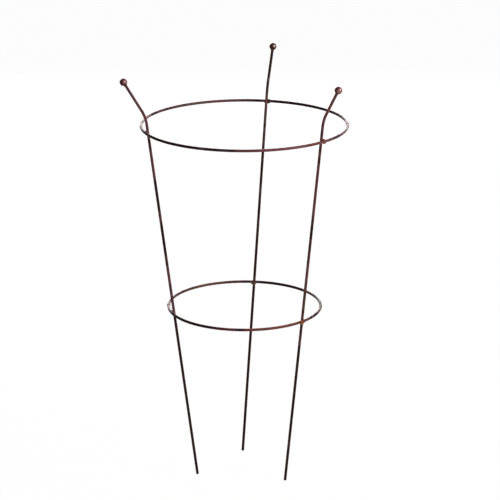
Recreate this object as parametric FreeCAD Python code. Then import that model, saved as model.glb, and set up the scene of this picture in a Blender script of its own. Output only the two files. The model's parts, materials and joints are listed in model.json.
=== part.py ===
"""Grow-through plant support: three bent rods, two hoops and three ball ends, welded together.

The frame is +Z up. The origin is the hoops' common axis at ground level, and the
viewer stands on the -Y side. All lengths are millimetres and all angles are degrees.
"""
import FreeCAD
import Part
import math
import os

# Overall sizes: the rings' heights are from the ground to the bar's centre
upper_ring_outer_diameter = 440.0
lower_ring_outer_diameter = 333.0
upper_ring_height = 781.0
lower_ring_height = 381.0
ball_top_above_upper_ring = 120.0
# The right leg's rod is cut a little long, so its ball stands this much higher
right_ball_extra_height = 3.0

# Round bar that the legs and the rings are made of
leg_rod_diameter = 6.0
ring_bar_diameter = 6.0
# Play left between a leg and the ring that it stands against before they are welded
fit_up_gap = 0.1

# Where each leg meets the rings and which way its bent end leans, seen from above and
# counted from +X towards +Y, and how far above the upper ring its bend starts
left_upper_azimuth = 198.4
left_lower_azimuth = 196.8
left_bend_azimuth = 203.0
left_bend_start_above_ring = 17.7

right_upper_azimuth = 318.1
right_lower_azimuth = 320.4
right_bend_azimuth = 314.0
right_bend_start_above_ring = 30.5

back_upper_azimuth = 76.8
back_lower_azimuth = 82.3
back_bend_azimuth = 78.9
back_bend_start_above_ring = 17.0

# The bend that all three legs share
bend_angle = 23.5
bend_inner_radius = 72.0
# Edge break of the leg's square-cut foot
foot_chamfer = 0.4

# Ball on each leg's end
ball_diameter = 16.0
# Hollow-sided collar of weld metal under each ball, from its toe on the rod to its throat
ball_weld_neck_length = 3.8
ball_weld_toe_thickness = 0.3
ball_weld_throat_radius = 5.0
ball_weld_waist_share = 0.3

# Weld bead in the corner where a leg crosses a ring: a thick head and a thinner tail
bead_head_radius = 4.7
bead_head_offset_along_ring = 3.6
bead_head_offset_up = 1.6
bead_tail_radius = 4.0
bead_tail_offset_along_ring = 2.4
bead_tail_offset_down = 0.7
# Which side of the leg the head lies on: 1 is counter-clockwise seen from above
upper_bead_sides = {"left": 1, "right": 1, "back": -1}
lower_bead_sides = {"left": -1, "right": -1, "back": 1}
# How the head lies in height: 1 above the middle of the bar, -1 below it
upper_bead_lifts = {"left": 1, "right": 1, "back": 1}
lower_bead_lifts = {"left": 1, "right": -1, "back": -1}

# Butt weld that closes each ring
seam_root_gap = 1.2
seam_weld_length = 6.0
seam_weld_crown_height = 0.8
seam_weld_toe_height = 0.15
upper_seam_azimuth = 0.0
lower_seam_azimuth = 180.0

# Sizes that follow from the ones above
leg_radius = leg_rod_diameter / 2
bar_radius = ring_bar_diameter / 2
ball_radius = ball_diameter / 2
upper_ring_radius = upper_ring_outer_diameter / 2 - bar_radius
lower_ring_radius = lower_ring_outer_diameter / 2 - bar_radius
bend_radius = bend_inner_radius + leg_radius
ball_centre_height = upper_ring_height + ball_top_above_upper_ring - ball_radius
ball_centre_heights = {
    "left": ball_centre_height,
    "right": ball_centre_height + right_ball_extra_height,
    "back": ball_centre_height,
}
upper_azimuths = {"left": left_upper_azimuth, "right": right_upper_azimuth, "back": back_upper_azimuth}
lower_azimuths = {"left": left_lower_azimuth, "right": right_lower_azimuth, "back": back_lower_azimuth}
bend_azimuths = {"left": left_bend_azimuth, "right": right_bend_azimuth, "back": back_bend_azimuth}
bend_starts = {
    "left": left_bend_start_above_ring,
    "right": right_bend_start_above_ring,
    "back": back_bend_start_above_ring,
}
# Distance between a leg's and a ring's centrelines, square to the leaning leg and then level
centre_to_centre = leg_radius + bar_radius + fit_up_gap
leg_slope = (upper_ring_radius - lower_ring_radius) / (upper_ring_height - lower_ring_height)
leg_set_back = centre_to_centre * math.sqrt(1 + leg_slope ** 2)

ground = FreeCAD.Vector(0, 0, 0)
upward = FreeCAD.Vector(0, 0, 1)


def outward(azimuth):
    """Level unit vector away from the hoops' axis."""
    turn = math.radians(azimuth)
    return FreeCAD.Vector(math.cos(turn), math.sin(turn), 0)


def along_ring(azimuth):
    """Level unit vector along a ring, counter-clockwise seen from above."""
    return upward.cross(outward(azimuth))


def crossing(ring_radius, ring_height, azimuth, set_back):
    """Point level with a ring, set back from its centreline towards the hoops' axis."""
    return outward(azimuth) * (ring_radius - set_back) + upward * ring_height


def leg_line(name):
    """The leg's centre at the upper ring, and its direction up from the ground."""
    upper = crossing(upper_ring_radius, upper_ring_height, upper_azimuths[name], leg_set_back)
    lower = crossing(lower_ring_radius, lower_ring_height, lower_azimuths[name], leg_set_back)
    return upper, (upper - lower).normalize()


def foot_centre(name):
    """Centre of the square-cut foot, whose lowest edge touches the ground."""
    upper, rise = leg_line(name)
    foot_height = (leg_radius - foot_chamfer) * math.sqrt(1 - rise.z ** 2)
    return upper - rise * ((upper.z - foot_height) / rise.z)


def bend(name):
    """Start, middle and end of the bend's centreline, and the rod's direction after it."""
    upper, rise = leg_line(name)
    lean = outward(bend_azimuths[name])
    side = (lean - rise * lean.dot(rise)).normalize()
    start = upper + rise * bend_starts[name]
    centre = start + side * bend_radius
    half = math.radians(bend_angle / 2)
    turn = math.radians(bend_angle)
    middle = centre + (rise * math.sin(half) - side * math.cos(half)) * bend_radius
    end = centre + (rise * math.sin(turn) - side * math.cos(turn)) * bend_radius
    return start, middle, end, rise * math.cos(turn) + side * math.sin(turn)


def ball_centre(name):
    """Centre of the ball at the tip, where the bent end reaches its ball's height."""
    end, after = bend(name)[2:]
    return end + after * ((ball_centre_heights[name] - end.z) / after.z)


def leg_solid(name, ball):
    """One rod: square-cut foot, straight run past both rings, bend, and an end that seats
    the ball."""
    start, middle, end = bend(name)[:3]
    foot = foot_centre(name)
    path = Part.Wire([
        Part.LineSegment(foot, start).toShape(),
        Part.Arc(start, middle, end).toShape(),
        Part.LineSegment(end, ball_centre(name)).toShape(),
    ])
    section = Part.Face(Part.Wire([Part.Circle(foot, start - foot, leg_radius).toShape()]))
    rod = path.makePipe(section)
    foot_edge = min(rod.Edges, key=lambda edge: edge.CenterOfMass.z)
    return rod.makeChamfer(foot_chamfer, [foot_edge]).cut(ball)


def ring_solid(ring_radius, ring_height, seam_azimuth):
    """Bar rolled to a hoop, its two ends a root gap apart."""
    gap_angle = math.degrees(seam_root_gap / ring_radius)
    hoop = Part.makeTorus(ring_radius, bar_radius, ground, upward, 0, 360, 360 - gap_angle)
    hoop.rotate(ground, upward, seam_azimuth + gap_angle / 2)
    hoop.translate(upward * ring_height)
    return hoop


def outline_point(place):
    """Point of an outline that is turned about Z, from its (radius, height)."""
    radius, height = place
    return FreeCAD.Vector(radius, 0, height)


def line(start, end):
    """Straight edge of such an outline."""
    return Part.LineSegment(outline_point(start), outline_point(end)).toShape()


def arc(start, middle, end):
    """Round edge of such an outline."""
    return Part.Arc(outline_point(start), outline_point(middle), outline_point(end)).toShape()


def turned_solid(edges, centre, direction):
    """Solid turned from a closed outline, then set at its place with Z along a direction."""
    solid = Part.Face(Part.Wire(edges)).revolve(ground, upward, 360)
    solid.Placement = FreeCAD.Placement(centre, FreeCAD.Rotation(upward, direction))
    return solid


def seam_weld_solid(ring, ring_radius, ring_height, seam_azimuth):
    """Barrel of weld metal that fills the root gap and stands a little proud of the bar."""
    half = seam_weld_length / 2
    low_toe = (bar_radius + seam_weld_toe_height, -half)
    crown = (bar_radius + seam_weld_crown_height, 0)
    high_toe = (bar_radius + seam_weld_toe_height, half)
    outline = [
        line((0, -half), low_toe),
        arc(low_toe, crown, high_toe),
        line(high_toe, (0, half)),
        line((0, half), (0, -half)),
    ]
    centre = crossing(ring_radius, ring_height, seam_azimuth, 0)
    return turned_solid(outline, centre, along_ring(seam_azimuth)).cut(ring)


def under_ball(radius):
    """Height of the ball's lower side at a radius, measured from the ball's centre."""
    return -math.sqrt(ball_radius ** 2 - radius ** 2)


def ball_weld_solid(name):
    """Hollow-sided collar of weld metal round the rod's end, up to the ball."""
    seat = (leg_radius, under_ball(leg_radius))
    throat = (ball_weld_throat_radius, under_ball(ball_weld_throat_radius))
    between = (leg_radius + ball_weld_throat_radius) / 2
    toe_height = seat[1] - ball_weld_neck_length
    toe_radius = leg_radius + ball_weld_toe_thickness
    waist_radius = toe_radius + (ball_weld_throat_radius - toe_radius) * ball_weld_waist_share
    waist = (waist_radius, (toe_height + throat[1]) / 2)
    outline = [
        line((leg_radius, toe_height), (toe_radius, toe_height)),
        arc((toe_radius, toe_height), waist, throat),
        arc(throat, (between, under_ball(between)), seat),
        line(seat, (leg_radius, toe_height)),
    ]
    return turned_solid(outline, ball_centre(name), bend(name)[3])


def bead_solid(leg, ring, touch, along, lift):
    """Weld bead that bridges a leg and a ring, with its head on one side of the leg."""
    head_rise = upward * bead_head_offset_up * lift
    tail_drop = upward * bead_tail_offset_down * lift
    head_centre = touch + along * bead_head_offset_along_ring + head_rise
    tail_centre = touch - along * bead_tail_offset_along_ring - tail_drop
    head = Part.makeSphere(bead_head_radius, head_centre)
    tail = Part.makeSphere(bead_tail_radius, tail_centre)
    return head.fuse(tail).cut([ring, leg])


def save(node, shape):
    """Write one piece under its node's name."""
    if len(shape.Solids) != 1 or not shape.isValid():
        print("check", node, len(shape.Solids), "solids, valid:", shape.isValid())
    shape.Solids[0].exportStep("parts/" + node + ".step")


def make_ring(level, ring_radius, ring_height, seam_azimuth):
    """Write one hoop and the weld that closes it, and give back the hoop."""
    ring = ring_solid(ring_radius, ring_height, seam_azimuth)
    save(level + "_ring", ring)
    save(level + "_ring_seam_weld", seam_weld_solid(ring, ring_radius, ring_height, seam_azimuth))
    return ring


def make_leg(name, upper_ring, lower_ring):
    """Write one leg with its ball, and the welds that hold the ball and the two rings."""
    ball = Part.makeSphere(ball_radius, ball_centre(name))
    leg = leg_solid(name, ball)
    save("leg_" + name, leg)
    save("finial_ball_" + name, ball)
    save("finial_weld_" + name, ball_weld_solid(name))
    upper_azimuth = upper_azimuths[name]
    lower_azimuth = lower_azimuths[name]
    upper_touch = crossing(upper_ring_radius, upper_ring_height, upper_azimuth, centre_to_centre / 2)
    lower_touch = crossing(lower_ring_radius, lower_ring_height, lower_azimuth, centre_to_centre / 2)
    upper_along = along_ring(upper_azimuth) * upper_bead_sides[name]
    lower_along = along_ring(lower_azimuth) * lower_bead_sides[name]
    upper_bead = bead_solid(leg, upper_ring, upper_touch, upper_along, upper_bead_lifts[name])
    lower_bead = bead_solid(leg, lower_ring, lower_touch, lower_along, lower_bead_lifts[name])
    save("upper_ring_weld_" + name, upper_bead)
    save("lower_ring_weld_" + name, lower_bead)


def main():
    os.makedirs("parts", exist_ok=True)
    upper_ring = make_ring("upper", upper_ring_radius, upper_ring_height, upper_seam_azimuth)
    lower_ring = make_ring("lower", lower_ring_radius, lower_ring_height, lower_seam_azimuth)
    for name in bend_starts:
        make_leg(name, upper_ring, lower_ring)
        print(name, "foot", foot_centre(name), "up", leg_line(name)[1], "ball", ball_centre(name))


main()
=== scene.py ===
"""Dresses the grow-through plant support and sets it on a plain pale floor.

The support is three bent rods, two hoops and three balls, welded together and left to
rust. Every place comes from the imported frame, +Z up. Lengths are metres unless a name or
a docstring gives millimetres, and angles are degrees.
"""
import json
import logging
import math
from dataclasses import dataclass
from enum import Enum
from typing import Callable, Optional, Union

import bpy
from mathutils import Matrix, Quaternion, Vector


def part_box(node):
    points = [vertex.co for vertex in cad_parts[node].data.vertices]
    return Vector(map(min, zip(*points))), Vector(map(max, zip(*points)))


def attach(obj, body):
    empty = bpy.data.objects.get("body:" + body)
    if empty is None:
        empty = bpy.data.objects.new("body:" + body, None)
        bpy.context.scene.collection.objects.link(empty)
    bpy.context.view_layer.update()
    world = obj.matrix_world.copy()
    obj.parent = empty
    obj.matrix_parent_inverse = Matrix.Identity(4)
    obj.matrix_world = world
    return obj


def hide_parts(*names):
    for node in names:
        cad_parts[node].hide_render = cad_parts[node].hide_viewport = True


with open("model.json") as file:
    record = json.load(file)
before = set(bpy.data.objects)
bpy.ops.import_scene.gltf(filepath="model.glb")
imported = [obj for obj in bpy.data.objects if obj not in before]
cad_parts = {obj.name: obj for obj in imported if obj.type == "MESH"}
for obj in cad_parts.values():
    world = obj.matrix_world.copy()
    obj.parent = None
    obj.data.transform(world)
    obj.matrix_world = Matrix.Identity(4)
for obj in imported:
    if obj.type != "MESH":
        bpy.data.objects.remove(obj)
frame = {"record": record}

log = logging.getLogger("plant_support")

Colour = tuple[float, float, float]
Place = tuple[float, float, float]
Uneven = tuple[tuple[float, float, float], ...]
Stained = tuple[tuple[float, float, Colour], ...]
Piece = bpy.types.Object
Socket = bpy.types.NodeSocket

MM = 0.001
UP = Vector((0.0, 0.0, 1.0))
WHITE: Colour = (1.0, 1.0, 1.0)

# The rod and its bend
ROD_RADIUS = 3.0 * MM
BEND_ANGLE = 23.5
BEND_RADIUS = 75 * MM

# Points this near are merged, and places this near count as one
MERGE_DISTANCE = 0.001 * MM
HAIR = 0.01 * MM

# Edges sharper than this stay sharp, on bars and balls and on weld metal
BAR_EDGE = 40.0
WELD_EDGE = 60.0


class Side(Enum):
    """The three legs, as the viewer sees them."""

    LEFT = "left"
    RIGHT = "right"
    BACK = "back"


class Level(Enum):
    """The two hoops."""

    UPPER = "upper"
    LOWER = "lower"


class Tone(Enum):
    """How a weld has rusted: dark, brown and bright colours."""

    DARK = ((0.013, 0.0075, 0.0070), (0.040, 0.0185, 0.0155), (0.13, 0.056, 0.036))
    BROWN = ((0.026, 0.0105, 0.0105), (0.078, 0.028, 0.027), (0.19, 0.074, 0.062))
    RED = ((0.055, 0.0155, 0.0140), (0.235, 0.064, 0.056), (0.46, 0.170, 0.145))
    ROSE = ((0.050, 0.022, 0.024), (0.15, 0.068, 0.072), (0.30, 0.155, 0.150))
    ORANGE = ((0.110, 0.036, 0.015), (0.42, 0.135, 0.048), (0.72, 0.29, 0.11))
    OCHRE = ((0.022, 0.0105, 0.0070), (0.088, 0.0430, 0.0260), (0.36, 0.195, 0.100))


# Azimuth of each hoop's butt weld
SEAM_AZIMUTHS = {Level.UPPER: 0.0, Level.LOWER: 180.0}


# Mesh craft


def leave_edit_mode() -> None:
    """Goes back to object mode if a piece is being edited."""
    if bpy.context.object is not None and bpy.context.object.mode != "OBJECT":
        bpy.ops.object.mode_set(mode="OBJECT")


def pick_only(*pieces: Piece) -> None:
    """Deselects everything, then selects these pieces and makes the first one active.

    Args:
        pieces: what stays selected; with none, nothing does.
    """
    leave_edit_mode()
    bpy.ops.object.select_all(action="DESELECT")
    for piece in pieces:
        piece.select_set(True)
    if pieces:
        bpy.context.view_layer.objects.active = pieces[0]


def pick_faces(piece: Piece, wanted: Callable[[Vector], bool]) -> None:
    """Opens a piece in edit mode with only some of its faces selected.

    Args:
        piece: the piece to edit.
        wanted: given a face's centre, says whether the face is selected.
    """
    pick_only(piece)
    bpy.ops.object.mode_set(mode="EDIT")
    bpy.ops.mesh.select_mode(type="FACE")
    bpy.ops.mesh.select_all(action="DESELECT")
    bpy.ops.object.mode_set(mode="OBJECT")
    for face in piece.data.polygons:
        face.select = wanted(face.center)
    bpy.ops.object.mode_set(mode="EDIT")


def place_here(piece: Piece) -> None:
    """Moves a piece's place, turn and scale into its mesh."""
    pick_only(piece)
    bpy.ops.object.transform_apply(location=True, rotation=True, scale=True)


def start_round_bar(centre: Vector, along: Vector, radius: float, sides: int) -> Piece:
    """Adds a round face to draw a bar out of, and leaves it selected in edit mode.

    Args:
        centre: middle of the face.
        along: direction in which the bar will be drawn.
        radius: radius of the face.
        sides: how many sides stand for the circle.

    Returns:
        The new piece, in edit mode.
    """
    pick_only()
    turn = along.to_track_quat("Z", "Y").to_euler()
    bpy.ops.mesh.primitive_circle_add(
        vertices=sides, radius=radius, fill_type="NGON", location=centre, rotation=turn
    )
    piece = bpy.context.object
    place_here(piece)
    bpy.ops.object.mode_set(mode="EDIT")
    bpy.ops.mesh.select_mode(type="FACE")
    bpy.ops.mesh.select_all(action="SELECT")
    return piece


def draw_out(step: Vector) -> None:
    """Extrudes the selected face by a step."""
    bpy.ops.mesh.extrude_region_move(TRANSFORM_OT_translate={"value": tuple(step)})


def widen(share: float, centre: Vector) -> None:
    """Scales what is selected about a centre."""
    bpy.ops.transform.resize(value=(share, share, share), center_override=tuple(centre))


def turn_bar(angle: float, centre: Vector, axis: Vector, steps: int) -> None:
    """Spins the selected face round an axis, right-handed.

    The operator turns left-handed when no window is open, so it gets the axis reversed.

    Args:
        angle: how far to turn.
        centre: a point of the axis.
        axis: the axis.
        steps: how many sections the turn has.
    """
    bpy.ops.mesh.spin(
        steps=steps, angle=math.radians(angle), center=tuple(centre), axis=tuple(-axis)
    )


def draw_profile(start: Vector, along: Vector, outline: list[tuple[float, float]], sides: int) -> Piece:
    """Draws a closed round piece out of one face, following an outline.

    Args:
        start: point from which heights are counted.
        along: unit direction of the heights.
        outline: (height, radius) of each section, from one end to the other.
        sides: how many sides each section has.

    Returns:
        The new piece, in object mode.
    """
    height, radius = outline[0]
    piece = start_round_bar(start + along * height, along, radius, sides)
    for next_height, next_radius in outline[1:]:
        draw_out(along * (next_height - height))
        widen(next_radius / radius, start + along * next_height)
        height, radius = next_height, next_radius
    leave_edit_mode()
    return piece


def ripple(turns: float) -> float:
    """Dip of a rippled surface, which goes from 0 to 1 and back to 0 in each turn."""
    return 0.5 - 0.5 * math.cos(turns * math.tau)


def apply_modifier(piece: Piece, kind: str, **settings: object) -> None:
    """Adds a modifier, sets it and applies it.

    Args:
        piece: the piece to change.
        kind: the modifier's type.
        settings: the values to give it.
    """
    pick_only(piece)
    modifier = piece.modifiers.new(kind.lower(), kind)
    for key, value in settings.items():
        setattr(modifier, key, value)
    bpy.ops.object.modifier_apply(modifier=modifier.name)


def roughen(piece: Piece, lump: float, depth: float, layers: int = 2) -> None:
    """Eats soft hollows into a surface, never standing proud of it.

    Args:
        piece: the piece to roughen.
        lump: size of the hollows.
        depth: depth of the deepest.
        layers: how many finer layers the hollows have.
    """
    texture = bpy.data.textures.new(piece.name + "_lumps", "CLOUDS")
    texture.noise_scale = lump
    texture.noise_depth = layers
    apply_modifier(
        piece, "DISPLACE", texture=texture, texture_coords="LOCAL", strength=depth, mid_level=1.0
    )


def close_up(piece: Piece, edge: float = BAR_EDGE) -> None:
    """Merges doubled points, points every face outwards and shades the piece smooth.

    Args:
        piece: the piece to finish.
        edge: edges sharper than this stay sharp.
    """
    pick_only(piece)
    bpy.ops.object.mode_set(mode="EDIT")
    bpy.ops.mesh.select_all(action="SELECT")
    bpy.ops.mesh.remove_doubles(threshold=MERGE_DISTANCE)
    bpy.ops.mesh.normals_make_consistent(inside=False)
    bpy.ops.object.mode_set(mode="OBJECT")
    bpy.ops.object.shade_smooth_by_angle(angle=math.radians(edge))


def copy_to(piece: Piece, centre: Vector, turn: Quaternion) -> Piece:
    """Copies a piece that was modelled at the origin to its place.

    Args:
        piece: the piece modelled once.
        centre: where its origin goes.
        turn: how it is turned.

    Returns:
        The copy, with its own mesh and its place in it.
    """
    twin = piece.copy()
    twin.data = piece.data.copy()
    bpy.context.collection.objects.link(twin)
    twin.rotation_mode = "QUATERNION"
    twin.location = centre
    twin.rotation_quaternion = turn
    place_here(twin)
    return twin


def put_away(piece: Piece) -> None:
    """Deletes a piece that was only a pattern for copies."""
    mesh = piece.data
    bpy.data.objects.remove(piece)
    bpy.data.meshes.remove(mesh)


def hand_over(piece: Piece, name: str, node: str, finish: bpy.types.Material) -> None:
    """Names a finished piece, dresses it and lets it stand for its CAD node.

    Args:
        piece: the finished piece.
        name: its name.
        node: the CAD node that it stands for.
        finish: its material.
    """
    piece.name = name
    piece.data.name = name
    piece.data.materials.clear()
    piece.data.materials.append(finish)
    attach(piece, "root")
    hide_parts(node)
    log.info("%s stands for %s with %d faces", name, node, len(piece.data.polygons))


# Finishes


@dataclass(frozen=True)
class Cloud:
    """Cloudy pattern.

    It has the size of its largest patches, a number of finer layers and their strength. A
    warp pulls it about, and a shift makes two patterns of one size differ.
    """

    size: float
    layers: float
    rough: float = 0.55
    warp: float = 0.0
    shift: float = 0.0


@dataclass(frozen=True)
class Range:
    """Stretch of a value from low to high, and what its two ends become."""

    low: float
    high: float
    to_low: float = 0.0
    to_high: float = 1.0


@dataclass(frozen=True)
class Spot:
    """Place on the object where there is more rust than elsewhere, or less; on the balls and hoops some
    spots paint highlight, sheen, shade or reflection instead.
    """

    place: Vector
    reach: float
    rust: float


@dataclass(frozen=True)
class Stain:
    """Place on the object where the rust has another colour; on the hoops some stains paint sheen or
    reflection instead.
    """

    place: Vector
    reach: float
    colour: Colour


def spread_spots(uneven: Uneven, point: Callable[[float], Vector]) -> tuple[Spot, ...]:
    """Puts more rust, or less, at some places along a bar; on the hoops some of it is painted shade, sheen
    or reflection.

    Args:
        uneven: where along the bar, the reach in millimetres and how much more.
        point: gives the point for a place along the bar.

    Returns:
        The spots.
    """
    return tuple(Spot(point(where), reach * MM, more) for where, reach, more in uneven)


def spread_stains(stains_and_painted_light: Stained, point: Callable[[float], Vector]) -> tuple[Stain, ...]:
    """Puts rust of another colour, or painted sheen or reflection, at some places along a bar.

    Args:
        stains_and_painted_light: where along the bar, the reach in millimetres and the colour.
        point: gives the point for a place along the bar.

    Returns:
        The stains.
    """
    return tuple(Stain(point(where), reach * MM, colour) for where, reach, colour in stains_and_painted_light)


class Recipe:
    """A material's node tree, filled in by short calls."""

    # How a cloud's shift is shared out over the three axes
    shift_way = (1.0, 0.7, -1.3)
    # Share of a spot's reach within which it has its full strength
    core_share = 0.25
    # The Mix node's colour sockets, which share their names with others
    mix_first, mix_second, mix_result = 6, 7, 2

    def __init__(self, name: str) -> None:
        """Starts a material with a plain shader and its Object coordinates.

        Args:
            name: the material's name.
        """
        self.material = bpy.data.materials.new(name)
        self.material.use_nodes = True
        self.tree = self.material.node_tree
        self.shader = self.tree.nodes["Principled BSDF"]
        self.place = self.node("ShaderNodeTexCoord").outputs["Object"]

    def node(self, kind: str, **settings: object) -> bpy.types.Node:
        """Adds a node and sets its properties.

        Args:
            kind: the node's type.
            settings: the properties to give it.

        Returns:
            The node.
        """
        node = self.tree.nodes.new(kind)
        for key, value in settings.items():
            setattr(node, key, value)
        return node

    def feed(self, target: Socket, value: Union[Socket, Colour, float]) -> None:
        """Gives an input what it works with.

        Args:
            target: the input.
            value: another node's output, a colour or a number.
        """
        if isinstance(value, Socket):
            self.tree.links.new(value, target)
        elif isinstance(value, tuple):
            target.default_value = (*value, 1.0)
        else:
            target.default_value = value

    def noise(self, cloud: Cloud) -> Socket:
        """Adds a cloudy pattern.

        Args:
            cloud: the pattern.

        Returns:
            Its value, about 0.5 on average.
        """
        mapping = self.node("ShaderNodeMapping")
        mapping.inputs["Location"].default_value = tuple(cloud.shift * way for way in self.shift_way)
        self.feed(mapping.inputs["Vector"], self.place)
        noise = self.node("ShaderNodeTexNoise", noise_dimensions="3D")
        self.feed(noise.inputs["Vector"], mapping.outputs["Vector"])
        self.feed(noise.inputs["Scale"], 1.0 / cloud.size)
        self.feed(noise.inputs["Detail"], cloud.layers)
        self.feed(noise.inputs["Roughness"], cloud.rough)
        self.feed(noise.inputs["Distortion"], cloud.warp)
        return noise.outputs["Fac"]

    def span(self, value: Socket, stretch: Range) -> Socket:
        """Stretches a value from one range to another, held at both ends.

        Args:
            value: the value.
            stretch: the two ranges.

        Returns:
            The stretched value.
        """
        node = self.node("ShaderNodeMapRange", interpolation_type="SMOOTHSTEP")
        self.feed(node.inputs["Value"], value)
        self.feed(node.inputs["From Min"], stretch.low)
        self.feed(node.inputs["From Max"], stretch.high)
        self.feed(node.inputs["To Min"], stretch.to_low)
        self.feed(node.inputs["To Max"], stretch.to_high)
        return node.outputs["Result"]

    def sums(self, operation: str, first: Socket, second: Union[Socket, float]) -> Socket:
        """Combines a value with another one or with a number.

        Args:
            operation: what the Math node does.
            first: the value.
            second: the other value or number.

        Returns:
            The result.
        """
        node = self.node("ShaderNodeMath", operation=operation)
        self.feed(node.inputs[0], first)
        self.feed(node.inputs[1], second)
        return node.outputs["Value"]

    def add_share(self, value: Socket, share: float, other: Socket) -> Socket:
        """Adds a share of another value to a value."""
        return self.sums("ADD", value, self.sums("MULTIPLY", other, share))

    def mix(
        self, share: Socket, first: Union[Socket, Colour], second: Union[Socket, Colour]
    ) -> Socket:
        """Mixes two colours.

        Args:
            share: how much of the second there is.
            first: one colour.
            second: the other colour.

        Returns:
            The mixed colour.
        """
        node = self.node("ShaderNodeMix", data_type="RGBA")
        self.feed(node.inputs["Factor"], share)
        self.feed(node.inputs[self.mix_first], first)
        self.feed(node.inputs[self.mix_second], second)
        return node.outputs[self.mix_result]

    def distance(self, point: Vector) -> Socket:
        """Measures how far the surface is from a point.

        Args:
            point: the point.

        Returns:
            The distance.
        """
        node = self.node("ShaderNodeVectorMath", operation="DISTANCE")
        self.feed(node.inputs[0], self.place)
        node.inputs[1].default_value = tuple(point)
        return node.outputs["Value"]

    def nearness(self, points: tuple[Vector, ...], near: float, far: float) -> Socket:
        """Measures how near the surface is to the nearest of some points.

        Args:
            points: the points.
            near: distance within which the value is 1.
            far: distance beyond which the value is 0.

        Returns:
            The value.
        """
        least = self.distance(points[0])
        for point in points[1:]:
            least = self.sums("MINIMUM", least, self.distance(point))
        return self.span(least, Range(near, far, 1.0, 0.0))

    def around(self, place: Vector, reach: float) -> Socket:
        """Value that is 1 round a place and fades to 0 at its reach."""
        return self.nearness((place,), self.core_share * reach, reach)

    def height(self) -> Socket:
        """Height of the surface above the ground."""
        split = self.node("ShaderNodeSeparateXYZ")
        self.feed(split.inputs[0], self.place)
        return split.outputs["Z"]

    def spotted(self, value: Socket, spots: tuple[Spot, ...]) -> Socket:
        """Adds each spot's share to a value, fading to nothing at its reach; the share is rust, or painted
        light where the spot paints highlight, sheen, shade or reflection.
        """
        for spot in spots:
            value = self.add_share(value, spot.rust, self.around(spot.place, spot.reach))
        return value

    def bumps(self, *layers: tuple[Socket, float]) -> None:
        """Stacks relief on the surface.

        Args:
            layers: the pattern and the depth of each layer.
        """
        below: Optional[Socket] = None
        for height, depth in layers:
            bump = self.node("ShaderNodeBump")
            self.feed(bump.inputs["Strength"], 1.0)
            self.feed(bump.inputs["Distance"], depth)
            self.feed(bump.inputs["Height"], height)
            if below is not None:
                self.feed(bump.inputs["Normal"], below)
            below = bump.outputs["Normal"]
        self.feed(self.shader.inputs["Normal"], below)

    def surface(
        self,
        colour: Socket,
        roughness: Socket,
        metal: Union[Socket, float],
        specular: float,
        sheen_tint: Colour,
    ) -> None:
        """Gives the shader its inputs.

        Args:
            colour: colour of the surface.
            roughness: how dull it is.
            metal: how much of it is bare metal or scale.
            specular: how strongly it glints where it is neither.
            sheen_tint: colour of the glint at a glancing angle.
        """
        inputs = self.shader.inputs
        self.feed(inputs["Base Color"], colour)
        self.feed(inputs["Roughness"], roughness)
        self.feed(inputs["Metallic"], metal)
        self.feed(inputs["Specular IOR Level"], specular)
        self.feed(inputs["Specular Tint"], sheen_tint)


@dataclass(frozen=True)
class RustedBar:
    """Round bar whose dark mill scale is giving way to rust.

    The rust comes first where the heat of a weld has lifted the scale, and spreads in
    patches from there. It may change with the height above the ground. Some spots and
    stains paint light instead: shade, sheen and reflection on the hoops, and sheen about
    the bend on the rods.
    """

    name: str
    welds: tuple[Vector, ...]
    brown: Colour
    climb: Optional[Range] = None
    spots: tuple[Spot, ...] = ()
    stains: tuple[Stain, ...] = ()
    scale_colour: Colour = (0.0150, 0.0054, 0.0062)
    orange: Colour = (0.19, 0.070, 0.052)
    patches: Cloud = Cloud(30 * MM, 5.0, 0.6, warp=0.6)
    flecks: Cloud = Cloud(3.2 * MM, 6.0, 0.68, warp=0.3, shift=0.31)
    pits: Cloud = Cloud(0.75 * MM, 4.0, 0.7, shift=0.77)
    fleck_depth: float = 0.12 * MM
    pit_depth: float = 0.08 * MM
    heat: float = 0.16
    heat_near: float = 4 * MM
    heat_far: float = 20 * MM
    turns_brown: Range = Range(0.36, 0.60)
    rust_in_flecks: float = 0.5
    turns_orange: Range = Range(0.80, 1.02, 0.0, 0.85)
    stain_grain: Range = Range(0.35, 0.60, 0.32, 0.80)
    metal: Union[Range, float] = 0.30
    roughness: Range = Range(0.5, 1.0, 0.34, 0.60)
    specular: float = 0.10
    sheen_tint: Colour = (1.0, 0.62, 0.66)

    def material(self) -> bpy.types.Material:
        """Builds the material.

        Returns:
            The material.
        """
        recipe = Recipe(self.name)
        heat = recipe.nearness(self.welds, self.heat_near, self.heat_far)
        rusting = recipe.add_share(recipe.noise(self.patches), self.heat, heat)
        if self.climb is not None:
            rusting = recipe.sums("ADD", rusting, recipe.span(recipe.height(), self.climb))
        rusting = recipe.spotted(rusting, self.spots)
        flecks = recipe.noise(self.flecks)
        fleck_level = recipe.add_share(flecks, self.rust_in_flecks, rusting)
        brown_share = recipe.span(rusting, self.turns_brown)
        colour = recipe.mix(brown_share, self.scale_colour, self.brown)
        colour = recipe.mix(recipe.span(fleck_level, self.turns_orange), colour, self.orange)
        for stain in self.stains:
            grain = recipe.span(flecks, self.stain_grain)
            share = recipe.sums("MULTIPLY", recipe.around(stain.place, stain.reach), grain)
            colour = recipe.mix(share, colour, stain.colour)
        roughness = recipe.span(fleck_level, self.roughness)
        metal = recipe.span(brown_share, self.metal) if isinstance(self.metal, Range) else self.metal
        recipe.surface(colour, roughness, metal, self.specular, self.sheen_tint)
        recipe.bumps((flecks, self.fleck_depth), (recipe.noise(self.pits), self.pit_depth))
        return recipe.material


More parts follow.
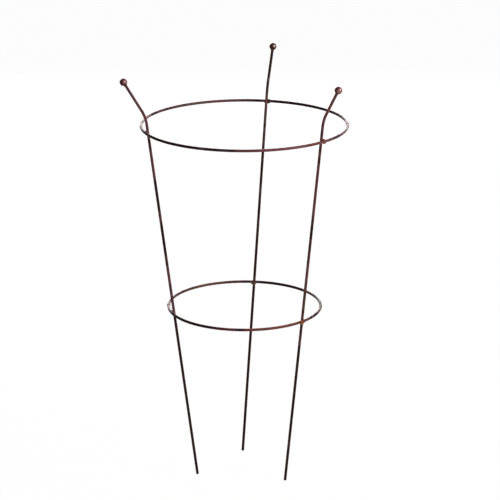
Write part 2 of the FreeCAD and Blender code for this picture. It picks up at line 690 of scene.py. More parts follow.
@dataclass(frozen=True)
class RustedBall:
    """Smooth forged ball under a thin, even, red-brown rust, with a painted highlight on the side towards
    the key light.
    """

    name: str
    painted_highlight: Spot
    brown: Colour
    highlight_colour: Colour
    dark: Colour = (0.022, 0.0062, 0.0075)
    orange: Colour = (0.19, 0.075, 0.072)
    patches: Cloud = Cloud(7 * MM, 4.0, 0.55, warp=0.4)
    flecks: Cloud = Cloud(1.3 * MM, 5.0, 0.65, shift=0.4)
    pits: Cloud = Cloud(0.5 * MM, 3.0, 0.65, shift=0.9)
    fleck_depth: float = 0.042 * MM
    pit_depth: float = 0.03 * MM
    turns_brown: Range = Range(0.42, 0.75)
    patches_and_highlight_in_flecks: float = 0.3
    turns_orange: Range = Range(0.72, 0.92, 0.0, 0.6)
    flecks_in_highlight: float = 0.35
    turns_to_highlight: Range = Range(0.82, 1.22)
    metal: float = 0.70
    roughness: Range = Range(0.35, 0.7, 0.30, 0.46)
    specular: float = 0.15
    sheen_tint: Colour = (1.0, 0.80, 0.80)

    def material(self) -> bpy.types.Material:
        """Builds the material.

        Returns:
            The material.
        """
        recipe = Recipe(self.name)
        flecks = recipe.noise(self.flecks)
        # The highlight spot is a painted highlight. On the side facing the key light it lifts the ball from
        # dark to brown, then to its pale highlight colour.
        patches_and_highlight = recipe.spotted(recipe.noise(self.patches), (self.painted_highlight,))
        fleck_level = recipe.add_share(flecks, self.patches_and_highlight_in_flecks, patches_and_highlight)
        highlight_level = recipe.add_share(patches_and_highlight, self.flecks_in_highlight, flecks)
        colour = recipe.mix(recipe.span(patches_and_highlight, self.turns_brown), self.dark, self.brown)
        colour = recipe.mix(recipe.span(fleck_level, self.turns_orange), colour, self.orange)
        colour = recipe.mix(recipe.span(highlight_level, self.turns_to_highlight), colour, self.highlight_colour)
        roughness = recipe.span(flecks, self.roughness)
        recipe.surface(colour, roughness, self.metal, self.specular, self.sheen_tint)
        recipe.bumps((flecks, self.fleck_depth), (recipe.noise(self.pits), self.pit_depth))
        return recipe.material


@dataclass(frozen=True)
class RustedWeld:
    """Weld metal, which rusts first and brightest, dark in its ripples."""

    name: str
    tone: Tone = Tone.ROSE
    patches: Cloud = Cloud(2.6 * MM, 4.0, 0.6, warp=0.8)
    flecks: Cloud = Cloud(0.9 * MM, 5.0, 0.7, shift=0.23)
    pits: Cloud = Cloud(0.35 * MM, 3.0, 0.7, shift=0.6)
    fleck_depth: float = 0.117 * MM
    pit_depth: float = 0.09 * MM
    turns_brown: Range = Range(0.34, 0.60)
    turns_bright: Range = Range(0.50, 0.70, 0.0, 0.8)
    metal: float = 0.0
    roughness: Range = Range(0.3, 0.7, 0.40, 0.70)
    specular: float = 0.12
    sheen_tint: Colour = (1.0, 0.75, 0.72)

    def material(self) -> bpy.types.Material:
        """Builds the material.

        Returns:
            The material.
        """
        recipe = Recipe(self.name)
        dark, brown, bright = self.tone.value
        flecks = recipe.noise(self.flecks)
        colour = recipe.mix(recipe.span(recipe.noise(self.patches), self.turns_brown), dark, brown)
        colour = recipe.mix(recipe.span(flecks, self.turns_bright), colour, bright)
        roughness = recipe.span(flecks, self.roughness)
        recipe.surface(colour, roughness, self.metal, self.specular, self.sheen_tint)
        recipe.bumps((flecks, self.fleck_depth), (recipe.noise(self.pits), self.pit_depth))
        return recipe.material


# The support's layout, read from the frame


@dataclass(frozen=True)
class HoopPlace:
    """Where one hoop lies."""

    level: Level
    bar_radius: float
    height: float
    radius: float
    seam: float

    @staticmethod
    def read(level: Level, seam: float) -> "HoopPlace":
        """Reads a hoop from the box of its node.

        Args:
            level: which hoop.
            seam: azimuth of its butt weld.

        Returns:
            The hoop's place.
        """
        low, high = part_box(f"{level.value}_ring")
        bar = (high.z - low.z) / 2
        return HoopPlace(level, bar, (low.z + high.z) / 2, (high.y - low.y) / 2 - bar, seam)

    def outward(self, azimuth: float) -> Vector:
        """Level unit vector away from the hoops' axis."""
        turn = math.radians(azimuth)
        return Vector((math.cos(turn), math.sin(turn), 0.0))

    def along(self, azimuth: float) -> Vector:
        """Level unit vector along the hoop, counter-clockwise seen from above."""
        return UP.cross(self.outward(azimuth))

    def point(self, azimuth: float) -> Vector:
        """Point of the bar's centreline."""
        return self.outward(azimuth) * self.radius + UP * self.height


@dataclass(frozen=True)
class LegPlace:
    """Centreline of one leg: a straight run, one bend, and a short run to the ball."""

    side: Side
    foot: Vector
    rise: Vector
    lean: Vector
    bend_angle: float
    bend_start: Vector
    bend_centre: Vector
    bend_end: Vector
    tip: Vector
    ball: Vector
    ball_radius: float

    @staticmethod
    def read(side: Side, bend_angle: float, bend_radius: float) -> "LegPlace":
        """Reads a leg from its foot mount and its ball's node.

        Args:
            side: which leg.
            bend_angle: how far it is bent.
            bend_radius: centreline radius of the bend.

        Returns:
            The leg's centreline.
        """
        mounts = {mount["name"]: mount for mount in frame["record"]["mounts"]}
        mount = mounts[f"foot_{side.value}"]
        foot = Vector(mount["pos_m"])
        rise = -Vector(mount["axis"]).normalized()
        low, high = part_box(f"finial_ball_{side.value}")
        ball = (low + high) / 2
        reach = ball - foot
        height = reach.dot(rise)
        lean = (reach - rise * height).normalized()
        offset = reach.dot(lean)
        turn = math.radians(bend_angle)
        tip_run = (offset - bend_radius * (1 - math.cos(turn))) / math.sin(turn)
        straight = height - bend_radius * math.sin(turn) - tip_run * math.cos(turn)
        start = foot + rise * straight
        centre = start + lean * bend_radius
        return LegPlace(
            side=side,
            foot=foot,
            rise=rise,
            lean=lean,
            bend_angle=bend_angle,
            bend_start=start,
            bend_centre=centre,
            bend_end=centre + (rise * math.sin(turn) - lean * math.cos(turn)) * bend_radius,
            tip=rise * math.cos(turn) + lean * math.sin(turn),
            ball=ball,
            ball_radius=(high.z - low.z) / 2,
        )

    def at_height(self, height: float) -> Vector:
        """Point of the straight run at a height."""
        return self.foot + self.rise * ((height - self.foot.z) / self.rise.z)

    def at_height_mm(self, height: float) -> Vector:
        """Point of the straight run at a height in millimetres."""
        return self.at_height(height * MM)

    def crossing(self, hoop: HoopPlace) -> tuple[Vector, float]:
        """Finds where the leg stands against a hoop.

        Args:
            hoop: the hoop.

        Returns:
            The point midway between the two centrelines, and its azimuth.
        """
        leg = self.at_height(hoop.height)
        azimuth = math.degrees(math.atan2(leg.y, leg.x))
        return (leg + hoop.point(azimuth)) / 2, azimuth


# Legs


@dataclass(frozen=True)
class RodRust:
    """How far one rod has rusted.

    Rust sets in between two heights. There is more of it, or less, at one place between
    the bend's end, 0, and the ball, 1; on the left and right rods that place also paints
    the sheen that the key light leaves about the bend. The same goes for places on the
    straight run, each given by its height, its reach and how much more. At others it has
    another colour, given by height, reach and colour. Heights and reaches are millimetres.
    """

    brown: Colour
    climb_low: float
    climb_high: float
    up_tip: float
    rust_and_sheen_at_tip: float
    uneven: Uneven
    stains_and_painted_light: Stained = ()


ROD_RUST = {
    Side.LEFT: RodRust(
        brown=(0.090, 0.037, 0.044),
        climb_low=200,
        climb_high=480,
        up_tip=0.0,
        rust_and_sheen_at_tip=0.12,
        uneven=((40, 60, -0.06), (445, 45, 0.12), (548, 42, -0.22), (648, 42, -0.20), (715, 40, 0.14)),
    ),
    Side.RIGHT: RodRust(
        brown=(0.102, 0.039, 0.039),
        climb_low=160,
        climb_high=460,
        up_tip=0.35,
        rust_and_sheen_at_tip=0.26,
        uneven=(
            (40, 60, -0.06),
            (160, 50, -0.16),
            (325, 50, 0.09),
            (405, 34, 0.08),
            (600, 42, -0.12),
            (660, 40, 0.10),
        ),
        stains_and_painted_light=((440, 36, (0.052, 0.030, 0.013)),),
    ),
    Side.BACK: RodRust(
        brown=(0.070, 0.038, 0.040),
        climb_low=420,
        climb_high=800,
        up_tip=0.8,
        rust_and_sheen_at_tip=-0.30,
        uneven=((20, 50, -0.10), (180, 90, -0.12), (320, 60, -0.20), (648, 48, -0.26), (700, 40, 0.12)),
    ),
}


@dataclass
class Legs:
    """The three bent rods."""

    places: list[LegPlace]
    hoops: list[HoopPlace]
    rod_radius: float = ROD_RADIUS
    foot_chamfer: float = 0.4 * MM
    foot_rim: float = 0.5 * MM
    foot_slope: float = 0.7 * MM
    foot_dish: float = 0.25 * MM
    seat_depth: float = 0.6 * MM
    longest_section: float = 24 * MM
    bend_steps: int = 16
    tip_sections: int = 2
    sides: int = 28
    tip_reach: float = 70 * MM
    foot_shortfall: float = 0.16

    def build_rod(self, place: LegPlace) -> Piece:
        """Draws one rod from its foot to its ball.

        Args:
            place: the rod's centreline.

        Returns:
            The rod.
        """
        foot_radius = self.rod_radius - self.foot_chamfer
        rod = start_round_bar(place.foot, place.rise, foot_radius, self.sides)
        draw_out(place.rise * self.foot_chamfer)
        widen(self.rod_radius / foot_radius, place.foot + place.rise * self.foot_chamfer)
        run = (place.bend_start - place.foot).length - self.foot_chamfer
        sections = math.ceil(run / self.longest_section)
        for _ in range(sections):
            draw_out(place.rise * (run / sections))
        turn_bar(place.bend_angle, place.bend_centre, place.rise.cross(place.lean), self.bend_steps)
        seat = place.ball - place.tip * (place.ball_radius - self.seat_depth)
        run = (seat - place.bend_end).length
        for _ in range(self.tip_sections):
            draw_out(place.tip * (run / self.tip_sections))
        self.dish_foot(rod, place)
        close_up(rod)
        return rod

    def dish_foot(self, rod: Piece, place: LegPlace) -> None:
        """Sinks the middle of the cropped foot a little, as a cropping blade leaves it.

        Args:
            rod: the rod.
            place: its centreline.
        """
        pick_faces(rod, lambda centre: (centre - place.foot).length < HAIR)
        bpy.ops.mesh.inset(thickness=self.foot_rim, depth=0.0)
        bpy.ops.mesh.inset(thickness=self.foot_slope, depth=-self.foot_dish)
        leave_edit_mode()

    def finish_for(self, place: LegPlace) -> bpy.types.Material:
        """Mixes the rust for one rod, with painted sheen about the bend on the left and right rods.

        Args:
            place: the rod's centreline.

        Returns:
            The material.
        """
        rust = ROD_RUST[place.side]
        # Rust near the tip, and on the left and right rods painted sheen about the bend
        tip_rust_and_sheen = Spot(place.bend_end.lerp(place.ball, rust.up_tip), self.tip_reach, rust.rust_and_sheen_at_tip)
        return RustedBar(
            name=f"rusted_rod_{place.side.value}",
            welds=tuple(place.crossing(hoop)[0] for hoop in self.hoops),
            brown=rust.brown,
            climb=Range(rust.climb_low * MM, rust.climb_high * MM, -self.foot_shortfall, 0.0),
            spots=(tip_rust_and_sheen, *spread_spots(rust.uneven, place.at_height_mm)),
            stains=spread_stains(rust.stains_and_painted_light, place.at_height_mm),
        ).material()

    def make(self) -> None:
        """Builds and dresses the three rods."""
        for place in self.places:
            rod = self.build_rod(place)
            side = place.side.value
            hand_over(rod, f"bent_rod_{side}", f"leg_{side}", self.finish_for(place))


# Hoops


@dataclass(frozen=True)
class HoopRustAndLight:
    """How far one hoop has rusted.

    There is more rust, or less, at some places, each given by its azimuth, its reach and
    how much more. At others it has another colour, given by azimuth, reach and colour.
    Reaches are millimetres. Many places are painted light, not rust: less rust paints shade
    on the arcs that turn away from the key light, and more rust paints its sheen on the arcs
    that catch it and the reflection at the hoop's ends. Grey stains and a pink one paint the same.
    """

    brown: Colour
    uneven: Uneven
    stains_and_painted_light: Stained


HOOP_RUST_AND_LIGHT = {
    Level.UPPER: HoopRustAndLight(
        brown=(0.098, 0.041, 0.048),
        # Painted shade: less rust at 214, 242, 54, 74 and 24, where the arcs turn from the key light.
        # Painted sheen: more at 292 and 108, where they catch it. Painted reflection: more at 345 and 166,
        # the hoop's ends.
        uneven=(
            (214, 110, -0.30),
            (242, 50, -0.10),
            (54, 95, -0.26),
            (74, 54, -0.18),
            (91, 34, 0.07),
            (292, 80, 0.20),
            (108, 60, 0.10),
            (24, 42, -0.16),
            (345, 34, 0.20),
            (166, 34, 0.20),
        ),
        # The pink stain at 290 is painted sheen over rust; the grey one at 350 paints the reflection at the
        # hoop's right end.
        stains_and_painted_light=(
            (311, 26, (0.150, 0.044, 0.024)),
            (290, 72, (0.162, 0.046, 0.066)),
            (122, 60, (0.064, 0.037, 0.032)),
            (350, 40, (0.080, 0.068, 0.076)),
        ),
    ),
    Level.LOWER: HoopRustAndLight(
        brown=(0.098, 0.038, 0.036),
        # Painted shade: less rust at 218, 238, 54 and 82. Painted sheen: more at 292 and 112. Painted
        # reflection: more at 182, the hoop's left end.
        uneven=(
            (218, 90, -0.28),
            (54, 80, -0.26),
            (82, 40, -0.12),
            (292, 75, 0.12),
            (112, 50, 0.08),
            (331, 34, -0.10),
            (238, 40, -0.16),
            (182, 26, 0.20),
        ),
        # The grey stain at 16 paints the reflection at the hoop's right end.
        stains_and_painted_light=(
            (126, 68, (0.088, 0.047, 0.026)),
            (98, 34, (0.066, 0.030, 0.019)),
            (256, 30, (0.095, 0.022, 0.032)),
            (276, 30, (0.162, 0.044, 0.031)),
            (297, 40, (0.155, 0.037, 0.022)),
            (313, 22, (0.140, 0.054, 0.018)),
            (317, 7, (0.270, 0.082, 0.036)),
            (16, 44, (0.060, 0.052, 0.058)),
        ),
    ),
}


@dataclass
class Hoops:
    """The two rolled hoops and the butt welds that close them."""

    places: list[HoopPlace]
    legs: list[LegPlace]
    root_gap: float = 1.2 * MM
    steps: int = 180
    sides: int = 24
    weld_half_length: float = 3.0 * MM
    weld_crown: float = 0.8 * MM
    weld_toe: float = 0.1 * MM
    weld_sides: int = 40
    weld_lump: float = 1.1 * MM
    weld_lump_depth: float = 0.16 * MM
    ripples: int = 4
    ripple_steps: int = 6
    ripple_depth: float = 0.10 * MM
    scale_colour: Colour = (0.0145, 0.0062, 0.0072)
    metal: Range = Range(0.0, 1.0, 0.66, 0.10)
    roughness: Range = Range(0.5, 1.0, 0.24, 0.48)
    sheen_tint: Colour = (0.34, 0.17, 0.18)

    def build_hoop(self, place: HoopPlace) -> Piece:
        """Rolls one bar to a hoop whose ends stand a root gap apart.

        Args:
            place: where the hoop lies.

        Returns:
            The hoop.
        """
        gap = math.degrees(self.root_gap / place.radius)
        azimuth = place.seam + gap / 2
        hoop = start_round_bar(place.point(azimuth), place.along(azimuth), place.bar_radius, self.sides)
        turn_bar(360.0 - gap, UP * place.height, UP, self.steps)
        close_up(hoop)
        return hoop

    def build_seam(self, place: HoopPlace) -> Piece:
        """Lays a rippled barrel of weld metal round the closed joint.

        Args:
            place: where the hoop lies.

        Returns:
            The butt weld.
        """
        outline = []
        count = self.ripples * self.ripple_steps
        for index in range(count + 1):
            share = index / count * 2 - 1
            crown = self.weld_toe + (self.weld_crown - self.weld_toe) * (1 - share**2)
            dip = self.ripple_depth * ripple(index / self.ripple_steps) * (1 - share**4)
            outline.append((share * self.weld_half_length, place.bar_radius + crown - dip))
        seam = draw_profile(place.point(place.seam), place.along(place.seam), outline, self.weld_sides)
        roughen(seam, self.weld_lump, self.weld_lump_depth)
        close_up(seam, WELD_EDGE)
        return seam

    def finish_for(self, place: HoopPlace) -> bpy.types.Material:
        """Mixes the rust and the painted shade, sheen and reflection for one hoop.

        Args:
            place: where the hoop lies.

        Returns:
            The material.
        """
        rust = HOOP_RUST_AND_LIGHT[place.level]
        return RustedBar(
            name=f"rusted_hoop_{place.level.value}",
            welds=tuple(leg.crossing(place)[0] for leg in self.legs) + (place.point(place.seam),),
            brown=rust.brown,
            spots=spread_spots(rust.uneven, place.point),
            stains=spread_stains(rust.stains_and_painted_light, place.point),
            scale_colour=self.scale_colour,
            metal=self.metal,
            roughness=self.roughness,
            sheen_tint=self.sheen_tint,
        ).material()

    def make(self) -> None:
        """Builds and dresses the hoops and their butt welds."""
        for place in self.places:
            level = place.level.value
            hoop = self.build_hoop(place)
            hand_over(hoop, f"rolled_hoop_{level}", f"{level}_ring", self.finish_for(place))
            seam = self.build_seam(place)
            finish = RustedWeld(name=f"rusted_seam_{level}").material()
            hand_over(seam, f"butt_weld_{level}", f"{level}_ring_seam_weld", finish)


# Balls and their collars


@dataclass(frozen=True)
class BallRust:
    """How one ball and its collar have rusted.

    The ball has a painted highlight, whose reach is given in ball radii.
    """

    brown: Colour
    highlight_reach: float
    highlight_colour: Colour = (0.235, 0.125, 0.120)
    collar: Tone = Tone.BROWN


# The pale colour and the reach in ball radii give each ball's painted highlight; brown is the ball's rust.
BALL_RUST = {
    Side.LEFT: BallRust(brown=(0.090, 0.0270, 0.0310), highlight_reach=0.90),
    Side.RIGHT: BallRust(brown=(0.105, 0.0320, 0.0340), highlight_reach=1.30),
    Side.BACK: BallRust(
        brown=(0.042, 0.0190, 0.0190),
        highlight_reach=0.75,
        highlight_colour=(0.230, 0.170, 0.160),
        collar=Tone.DARK,
    ),
}


@dataclass
class BallEnds:
    """The ball on each leg's tip and the collar of weld metal under it."""

    legs: list[LegPlace]
    segments: int = 64
    rings: int = 40
    seat_radius: float = 2.75 * MM
    seat_edge: float = 0.25 * MM
    forging_lump: float = 5 * MM
    forging_depth: float = 0.10 * MM
    turn_per_ball: float = 130.0
    rod_radius: float = ROD_RADIUS
    collar_length: float = 3.8 * MM
    collar_toe: float = 0.2 * MM
    collar_throat_radius: float = 5.0 * MM
    collar_bulge: float = 0.30
    collar_hollow: float = 2.2
    collar_sides: int = 40
    collar_lump: float = 1.2 * MM
    collar_lump_depth: float = 0.22 * MM
    toe_run_on: float = 0.15 * MM
    toe_tuck: float = 0.05 * MM
    throat_run_on: float = 0.5 * MM
    throat_tuck: float = 0.6 * MM
    ripples: int = 3
    ripple_steps: int = 7
    ripple_depth: float = 0.09 * MM
    # Painted highlight: a paler patch on every ball, on the side towards the key light and the camera; its
    # direction and strength.
    highlight_way: Place = (0.40, -0.90, 0.18)
    highlight_strength: float = 0.50

    def build_ball(self, radius: float) -> Piece:
        """Forges one ball at the origin, with a small flat below where its rod seats.

        Args:
            radius: the ball's radius.

        Returns:
            The ball.
        """
        pick_only()
        bpy.ops.mesh.primitive_uv_sphere_add(segments=self.segments, ring_count=self.rings, radius=radius)
        ball = bpy.context.object
        flat = -math.sqrt(radius**2 - self.seat_radius**2)
        bpy.ops.object.mode_set(mode="EDIT")
        bpy.ops.mesh.select_all(action="SELECT")
        bpy.ops.mesh.bisect(plane_co=UP * flat, plane_no=UP, use_fill=True, clear_inner=True)
        pick_faces(ball, lambda centre: abs(centre.z - flat) < HAIR)
        bpy.ops.mesh.inset(thickness=self.seat_edge, depth=-self.seat_edge / 2)
        leave_edit_mode()
        roughen(ball, self.forging_lump, self.forging_depth)
        close_up(ball)
        return ball

    def build_collar(self, radius: float) -> Piece:
        """Lays one hollow-sided, rippled collar below a ball at the origin.

        Both ends run on a little, the toe into the rod and the throat into the ball.

        Args:
            radius: the ball's radius.

        Returns:
            The collar.
        """
        toe_radius = self.rod_radius + self.collar_toe
        throat = -math.sqrt(radius**2 - self.collar_throat_radius**2)
        toe = -math.sqrt(radius**2 - self.rod_radius**2) - self.collar_length
        outline = [(toe - self.toe_run_on, self.rod_radius - self.toe_tuck)]
        count = self.ripples * self.ripple_steps
        for index in range(count + 1):
            share = index / count
            flare = share * self.collar_bulge + (1 - self.collar_bulge) * share**self.collar_hollow
            dip = self.ripple_depth * ripple(index / self.ripple_steps)
            width = toe_radius + (self.collar_throat_radius - toe_radius) * flare - dip
            outline.append((toe + (throat - toe) * share, width))
        outline.append((throat + self.throat_run_on, self.collar_throat_radius - self.throat_tuck))
        collar = draw_profile(Vector((0, 0, 0)), UP, outline, self.collar_sides)
        roughen(collar, self.collar_lump, self.collar_lump_depth)
        close_up(collar, WELD_EDGE)
        return collar

    def finish_for(self, leg: LegPlace) -> bpy.types.Material:
        """Mixes the rust and the painted highlight for one ball.

        Args:
            leg: the leg that carries the ball.

        Returns:
            The material.
        """
        rust = BALL_RUST[leg.side]
        # Centre of the painted highlight on this ball
        painted_highlight = leg.ball + Vector(self.highlight_way) * leg.ball_radius
        return RustedBall(
            name=f"rusted_ball_{leg.side.value}",
            painted_highlight=Spot(painted_highlight, rust.highlight_reach * leg.ball_radius, self.highlight_strength),
            brown=rust.brown,
            highlight_colour=rust.highlight_colour,
        ).material()

    def make(self) -> None:
        """Models a ball and a collar once, copies them to the tips and dresses them."""
        ball = self.build_ball(self.legs[0].ball_radius)
        collar = self.build_collar(self.legs[0].ball_radius)
        for index, leg in enumerate(self.legs):
            side = leg.side.value
            spin = Quaternion(UP, math.radians(self.turn_per_ball * index))
            turn = leg.tip.to_track_quat("Z", "Y") @ spin
            piece = copy_to(ball, leg.ball, turn)
            hand_over(piece, f"forged_ball_{side}", f"finial_ball_{side}", self.finish_for(leg))
            piece = copy_to(collar, leg.ball, turn)
            finish = RustedWeld(name=f"rusted_collar_{side}", tone=BALL_RUST[leg.side].collar).material()
            hand_over(piece, f"ball_collar_{side}", f"finial_weld_{side}", finish)
        put_away(ball)
        put_away(collar)


# Corner beads


@dataclass(frozen=True)
class BeadShape:
    """How one bead was laid, all in millimetres.

    It runs from a tail to a head in the corner between leg and hoop, and some beads run
    out from the head to a third place. Each place is given along the hoop towards the
    head, outwards and up. The head lies counter-clockwise of the leg, seen from above,
    where head_side is 1, and clockwise where it is -1.
    """

    head_side: int
    head: Place
    head_radius: float
    tail: Place = (-2.4, 0.0, -0.7)
    tail_radius: float = 3.9
    run_out: Optional[Place] = None
    run_out_radius: float = 3.9
    tone: Tone = Tone.ROSE

    def place(self, spot: Place) -> Vector:
        """Turns a place into the bead's own frame, which has the head towards +X."""
        along, outwards, up = spot
        return Vector((along, -outwards * self.head_side, up)) * MM


BEADS = {
    (Level.UPPER, Side.LEFT): BeadShape(head_side=1, head=(2.6, 0.1, 2.0), head_radius=4.3),
    (Level.UPPER, Side.RIGHT): BeadShape(
        head_side=1,
        head=(3.0, 0.2, 1.5),
        head_radius=4.5,
        run_out=(1.8, 4.0, -1.1),
        run_out_radius=4.3,
        tone=Tone.RED,
    ),
    (Level.UPPER, Side.BACK): BeadShape(
        head_side=-1, head=(4.4, 0.2, 0.3), head_radius=5.5, tone=Tone.DARK
    ),
    (Level.LOWER, Side.LEFT): BeadShape(
        head_side=-1, head=(1.6, 0.2, 0.7), head_radius=4.0, tail=(-3.6, 0.4, 0.3), tail_radius=4.4
    ),
    (Level.LOWER, Side.RIGHT): BeadShape(
        head_side=-1,
        head=(2.2, 0.5, -2.4),
        head_radius=4.3,
        tail=(-2.4, 0.6, -1.2),
        run_out=(3.4, 0.6, -4.6),
        tone=Tone.ORANGE,
    ),
    (Level.LOWER, Side.BACK): BeadShape(
        head_side=1,
        head=(3.4, 0.2, -1.9),
        head_radius=4.3,
        tail=(-1.6, 0.2, -1.0),
        run_out=(0.6, -4.2, 0.2),
        tone=Tone.OCHRE,
    ),
}


@dataclass
class CrossingWelds:
    """The bead in each corner where a leg crosses a hoop."""

    legs: list[LegPlace]
    hoops: list[HoopPlace]
    puddles: int = 6
    puddle_thickness: float = 0.42
    stop_share: float = 0.93
    segments: int = 32
    rings: int = 20
    voxel: float = 0.26 * MM
    smoothing: float = 0.6
    smoothing_rounds: int = 3
    lump_size: float = 1.3 * MM
    lump_depth: float = 0.35 * MM

    def drop(self, place: Vector, radius: float, travel: Vector, thickness: float) -> Piece:
        """Drops one puddle of weld metal, flattened in the direction of travel.

        Args:
            place: its centre.
            radius: its radius.
            travel: direction in which the bead was laid.
            thickness: its thickness as a share of its width.

        Returns:
            The puddle.
        """
        pick_only()
        bpy.ops.mesh.primitive_uv_sphere_add(
            segments=self.segments,
            ring_count=self.rings,
            radius=radius,
            location=place,
            rotation=travel.to_track_quat("X", "Z").to_euler(),
            scale=(thickness, 1.0, 1.0),
        )
        place_here(bpy.context.object)
        return bpy.context.object

    def build_bead(self, shape: BeadShape) -> Piece:
        """Lays one bead as overlapping puddles, along +X with its head that way.

        Args:
            shape: how the bead was laid.

        Returns:
            The bead at the origin.
        """
        stops = [(shape.place(shape.tail), shape.tail_radius), (shape.place(shape.head), shape.head_radius)]
        if shape.run_out is not None:
            stops.append((shape.place(shape.run_out), shape.run_out_radius))
        ahead = Vector((1, 0, 0))
        drops = [self.drop(place, radius * self.stop_share * MM, ahead, 1.0) for place, radius in stops]
        for (start, first), (end, last) in zip(stops, stops[1:]):
            for index in range(self.puddles):
                share = (index + 0.5) / self.puddles
                radius = (first + (last - first) * share) * MM
                drops.append(self.drop(start.lerp(end, share), radius, end - start, self.puddle_thickness))
        pick_only(*drops)
        bpy.ops.object.join()
        bead = bpy.context.object
        apply_modifier(bead, "REMESH", mode="VOXEL", voxel_size=self.voxel)
        apply_modifier(bead, "SMOOTH", factor=self.smoothing, iterations=self.smoothing_rounds)
        roughen(bead, self.lump_size, self.lump_depth)
        close_up(bead, WELD_EDGE)
        return bead

    def make(self) -> None:
        """Lays and dresses the six beads."""
        for hoop in self.hoops:
            for leg in self.legs:
                shape = BEADS[(hoop.level, leg.side)]
                touch, azimuth = leg.crossing(hoop)
                pattern = self.build_bead(shape)
                turn = Quaternion(UP, math.radians(azimuth + 90 * shape.head_side))
                bead = copy_to(pattern, touch, turn)
                put_away(pattern)
                level, side = hoop.level.value, leg.side.value
                finish = RustedWeld(name=f"rusted_bead_{level}_{side}", tone=shape.tone).material()
                node = f"{level}_ring_weld_{side}"
                hand_over(bead, f"corner_bead_{level}_{side}", node, finish)


# Studio


@dataclass(frozen=True)
class Lamp:
    """One soft rectangular lamp: its place, its width and height, and its watts."""

    name: str
    place: Place
    size: tuple[float, float]
    watts: float


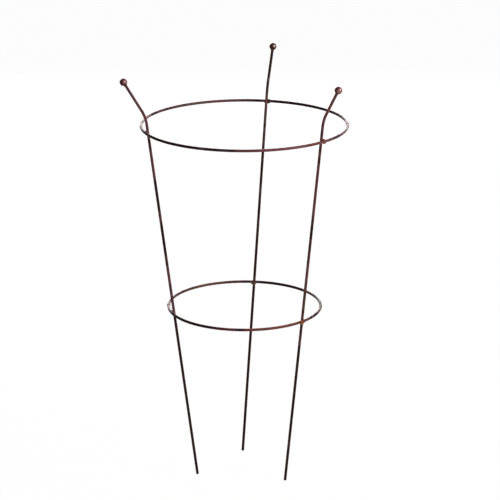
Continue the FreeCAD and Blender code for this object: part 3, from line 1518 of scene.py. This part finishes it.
@dataclass
class Studio:
    """Floor, light and the camera at the photograph's angle."""

    lamps: tuple[Lamp, ...] = (
        Lamp("right_softbox", (2.7, -1.5, 2.05), (1.5, 1.5), 98),
        Lamp("left_softbox", (-3.0, -1.8, 2.4), (2.0, 2.0), 8),
        Lamp("back_softbox", (0.0, 3.6, 1.4), (3.4, 2.1), 170),
    )
    lamp_target: Place = (0.0, 0.0, 0.5)
    ambient: float = 0.30
    floor_size: float = 40.0
    floor_drop: float = 0.2 * MM
    floor_colour: Colour = (0.86, 0.86, 0.86)
    floor_roughness: float = 0.9
    floor_specular: float = 0.1
    floor_white_share: float = 0.97
    camera_place: Place = (0.0, -4.785, 1.988)
    pitch: float = 17.22
    yaw: float = 0.14
    roll: float = -0.05
    lens_mm: float = 168.8
    sensor_mm: float = 36.0
    clip_end: float = 60.0

    def white_to_the_eye(self, tree: bpy.types.NodeTree) -> Socket:
        """Finds out whether a ray makes the picture or only lights it.

        Args:
            tree: the node tree that asks.

        Returns:
            A value that is 1 for camera, glossy and transmission rays, and 0 for the rest.
        """
        light_path = tree.nodes.new("ShaderNodeLightPath")
        value = light_path.outputs["Is Camera Ray"]
        for name in ("Is Glossy Ray", "Is Transmission Ray"):
            most = tree.nodes.new("ShaderNodeMath")
            most.operation = "MAXIMUM"
            tree.links.new(value, most.inputs[0])
            tree.links.new(light_path.outputs[name], most.inputs[1])
            value = most.outputs["Value"]
        return value

    def build_world(self) -> None:
        """White surroundings that light the object softly."""
        world = bpy.data.worlds.new("pale_surroundings")
        bpy.context.scene.world = world
        world.use_nodes = True
        tree = world.node_tree
        background = tree.nodes["Background"]
        background.inputs["Color"].default_value = (*WHITE, 1.0)
        strength = tree.nodes.new("ShaderNodeMapRange")
        strength.inputs["To Min"].default_value = self.ambient
        strength.inputs["To Max"].default_value = 1.0
        tree.links.new(self.white_to_the_eye(tree), strength.inputs["Value"])
        tree.links.new(strength.outputs["Result"], background.inputs["Strength"])

    def build_floor(self) -> None:
        """Pale floor that looks white and keeps the object's shadow."""
        pick_only()
        bpy.ops.mesh.primitive_plane_add(size=self.floor_size, location=(0, 0, -self.floor_drop))
        floor = bpy.context.object
        floor.name = "pale_floor"
        material = bpy.data.materials.new("pale_floor")
        material.use_nodes = True
        tree = material.node_tree
        shader = tree.nodes["Principled BSDF"]
        shader.inputs["Base Color"].default_value = (*self.floor_colour, 1.0)
        shader.inputs["Roughness"].default_value = self.floor_roughness
        shader.inputs["Specular IOR Level"].default_value = self.floor_specular
        glow = tree.nodes.new("ShaderNodeEmission")
        glow.inputs["Color"].default_value = (*WHITE, 1.0)
        glow.inputs["Strength"].default_value = 1.0
        share = tree.nodes.new("ShaderNodeMath")
        share.operation = "MULTIPLY"
        share.inputs[1].default_value = self.floor_white_share
        tree.links.new(self.white_to_the_eye(tree), share.inputs[0])
        mix = tree.nodes.new("ShaderNodeMixShader")
        tree.links.new(share.outputs["Value"], mix.inputs["Fac"])
        tree.links.new(shader.outputs["BSDF"], mix.inputs[1])
        tree.links.new(glow.outputs["Emission"], mix.inputs[2])
        tree.links.new(mix.outputs["Shader"], tree.nodes["Material Output"].inputs["Surface"])
        floor.data.materials.append(material)

    def hang_lamp(self, lamp: Lamp) -> None:
        """Hangs one lamp and points it at the object.

        Args:
            lamp: the lamp.
        """
        pick_only()
        back = Vector(lamp.place) - Vector(self.lamp_target)
        turn = back.to_track_quat("Z", "Y").to_euler()
        bpy.ops.object.light_add(type="AREA", location=lamp.place, rotation=turn)
        light = bpy.context.object
        light.name = lamp.name
        light.data.shape = "RECTANGLE"
        light.data.size, light.data.size_y = lamp.size
        light.data.energy = lamp.watts

    def build_camera(self) -> None:
        """Sets the camera where the photograph was taken from."""
        down, aside = math.radians(self.pitch), math.radians(self.yaw)
        forward = Vector(
            (math.sin(aside) * math.cos(down), math.cos(aside) * math.cos(down), -math.sin(down))
        )
        tilt = Quaternion(UP, math.radians(self.roll))
        pick_only()
        bpy.ops.object.camera_add(location=self.camera_place)
        camera = bpy.context.object
        camera.name = "photo_camera"
        camera.rotation_mode = "QUATERNION"
        camera.rotation_quaternion = forward.to_track_quat("-Z", "Y") @ tilt
        camera.data.sensor_width = self.sensor_mm
        camera.data.lens = self.lens_mm
        camera.data.clip_end = self.clip_end
        bpy.context.scene.camera = camera

    def make(self) -> None:
        """Builds the studio."""
        bpy.context.scene.view_settings.view_transform = "Standard"
        self.build_world()
        self.build_floor()
        for lamp in self.lamps:
            self.hang_lamp(lamp)
        self.build_camera()


def main() -> None:
    """Builds the support and its studio."""
    logging.basicConfig(level=logging.INFO, format="%(name)s: %(message)s")
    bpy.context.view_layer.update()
    hoops = [HoopPlace.read(level, SEAM_AZIMUTHS[level]) for level in Level]
    legs = [LegPlace.read(side, BEND_ANGLE, BEND_RADIUS) for side in Side]
    Legs(legs, hoops).make()
    Hoops(hoops, legs).make()
    BallEnds(legs).make()
    CrossingWelds(legs, hoops).make()
    Studio().make()
    pick_only()


if __name__ == "__main__":
    main()
